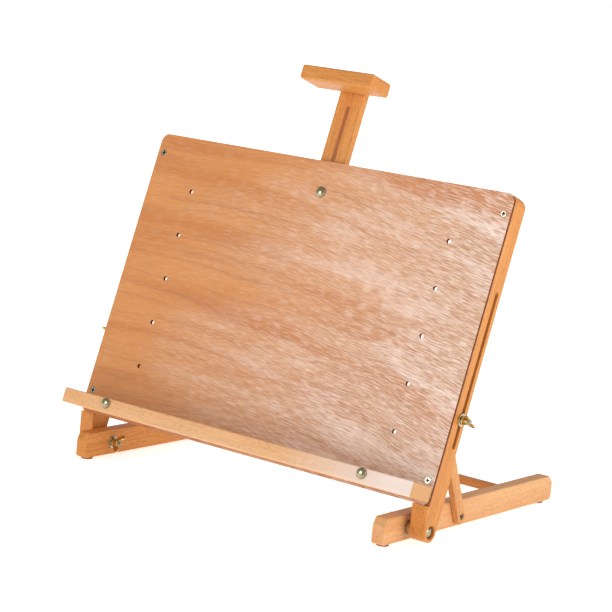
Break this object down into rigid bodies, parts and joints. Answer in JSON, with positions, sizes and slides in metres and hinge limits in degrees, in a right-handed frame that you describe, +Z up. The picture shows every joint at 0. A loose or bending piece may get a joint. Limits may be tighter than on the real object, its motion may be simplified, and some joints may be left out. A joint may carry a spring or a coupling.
{
  "type": "tabletop artist easel",
  "caption": "Tabletop artist easel: a plywood drawing board on slotted side rails tilts on a low wooden base, with a ledge below and a sliding clamp mast above.",
  "frame": {"origin": "on the table under the middle of the easel, at the bottom centre of its bounding box", "axes": "+X to the right as the artist faces it, along the ledge; +Y away from the artist, towards the rear of the feet; +Z up from the table"},
  "size_m": [0.5278, 0.351, 0.4848],
  "materials": {
    "plywood": "satin varnish",
    "beech": "satin oil",
    "pale_beech": "satin oil",
    "nickel": "nickel plated",
    "brass": "polished",
    "rubber": "matt"
  },
  "bodies": {
    "board": {"drawing_board": "plywood", "left_side_rail": "beech", "right_side_rail": "beech", "top_cross_rail": "beech", "left_top_rail_dowel": "beech", "right_top_rail_dowel": "beech", "left_lower_board_screw": "nickel", "left_upper_board_screw": "nickel", "right_lower_board_screw": "nickel", "right_upper_board_screw": "nickel", "mast_bolt": "nickel", "mast_washer": "nickel", "left_ledge_washer": "nickel", "right_ledge_washer": "nickel"},
    "mast": {"mast": "beech", "clamp_head": "beech", "left_head_screw": "nickel", "right_head_screw": "nickel"},
    "ledge": {"ledge": "pale_beech", "left_ledge_bolt": "nickel", "right_ledge_bolt": "nickel"},
    "base": {"left_foot": "beech", "right_foot": "beech", "rear_stretcher": "beech", "left_stretcher_dowel": "beech", "right_stretcher_dowel": "beech", "left_front_pad": "rubber", "left_rear_pad": "rubber", "right_front_pad": "rubber", "right_rear_pad": "rubber", "left_pivot_bolt": "nickel", "right_pivot_bolt": "nickel", "left_pivot_spacer": "nickel", "right_pivot_spacer": "nickel", "left_pivot_washer": "nickel", "right_pivot_washer": "nickel", "left_prop_screw": "nickel", "right_prop_screw": "nickel"},
    "left_prop": {"left_prop": "beech", "left_slot_bolt_head": "nickel"},
    "left_slot_bolt": {"left_slot_bolt": "nickel", "left_slot_washer": "nickel"},
    "right_prop": {"right_prop": "beech", "right_slot_bolt_head": "nickel"},
    "right_slot_bolt": {"right_slot_bolt": "nickel", "right_slot_washer": "nickel"},
    "left_pivot_wing_nut": {"left_pivot_wing_nut": "brass"},
    "right_pivot_wing_nut": {"right_pivot_wing_nut": "brass"},
    "left_slot_wing_nut": {"left_slot_wing_nut": "brass"},
    "right_slot_wing_nut": {"right_slot_wing_nut": "brass"},
    "left_ledge_wing_nut": {"left_ledge_wing_nut": "brass"},
    "right_ledge_wing_nut": {"right_ledge_wing_nut": "brass"},
    "mast_wing_nut": {"mast_wing_nut": "brass"}
  },
  "joints": [
    {"name": "board_tilt", "type": "hinge", "parent": "base", "child": "board", "pos_m": [0, -0.12767, 0.01649], "axis": [-1, 0, 0], "range_deg": [-14.5, 51]},
    {"name": "left_prop_swing", "type": "hinge", "parent": "base", "child": "left_prop", "pos_m": [0, -0.0341, 0.0151], "axis": [-1, 0, 0], "range_deg": [-21.8, 75.5]},
    {"name": "left_slot_travel", "type": "slide", "parent": "board", "child": "left_slot_bolt", "axis": [0, 0.309, 0.9511], "range_m": [-0.0282, 0.0979]},
    {"name": "right_prop_swing", "type": "hinge", "parent": "base", "child": "right_prop", "pos_m": [0, -0.0341, 0.0151], "axis": [-1, 0, 0], "range_deg": [-21.8, 75.5]},
    {"name": "right_slot_travel", "type": "slide", "parent": "board", "child": "right_slot_bolt", "axis": [0, 0.309, 0.9511], "range_m": [-0.0282, 0.0979]},
    {"name": "mast_slide", "type": "slide", "parent": "board", "child": "mast", "axis": [0, 0.309, 0.9511], "range_m": [-0.082, 0.083]},
    {"name": "ledge_pull_off", "type": "slide", "parent": "board", "child": "ledge", "axis": [0, -0.9511, 0.309], "range_m": [0, 0.025]},
    {"name": "left_pivot_nut_turn", "type": "hinge", "parent": "base", "child": "left_pivot_wing_nut", "pos_m": [-0.2039, -0.12767, 0.01649], "axis": [1, 0, 0], "continuous": true},
    {"name": "left_slot_nut_turn", "type": "hinge", "parent": "left_slot_bolt", "child": "left_slot_wing_nut", "pos_m": [-0.2518, -0.0911, 0.13618], "axis": [-1, 0, 0], "continuous": true},
    {"name": "left_ledge_nut_turn", "type": "hinge", "parent": "board", "child": "left_ledge_wing_nut", "pos_m": [-0.1835, -0.12923, 0.05927], "axis": [0, 0.9511, -0.309], "continuous": true},
    {"name": "right_pivot_nut_turn", "type": "hinge", "parent": "base", "child": "right_pivot_wing_nut", "pos_m": [0.2039, -0.12767, 0.01649], "axis": [-1, 0, 0], "continuous": true},
    {"name": "right_slot_nut_turn", "type": "hinge", "parent": "right_slot_bolt", "child": "right_slot_wing_nut", "pos_m": [0.2518, -0.0911, 0.13618], "axis": [1, 0, 0], "continuous": true},
    {"name": "right_ledge_nut_turn", "type": "hinge", "parent": "board", "child": "right_ledge_wing_nut", "pos_m": [0.1835, -0.12923, 0.05927], "axis": [0, 0.9511, -0.309], "continuous": true},
    {"name": "mast_nut_turn", "type": "hinge", "parent": "board", "child": "mast_wing_nut", "pos_m": [0, -0.01825, 0.33613], "axis": [0, 0.9511, -0.309], "continuous": true}
  ],
  "couplings": [
    {"joint": "left_prop_swing", "follows": "board_tilt", "ratio": 1.47},
    {"joint": "left_slot_travel", "follows": "board_tilt", "m_per_rad": 0.10943},
    {"joint": "right_prop_swing", "follows": "board_tilt", "ratio": 1.47},
    {"joint": "right_slot_travel", "follows": "board_tilt", "m_per_rad": 0.10943}
  ]
}
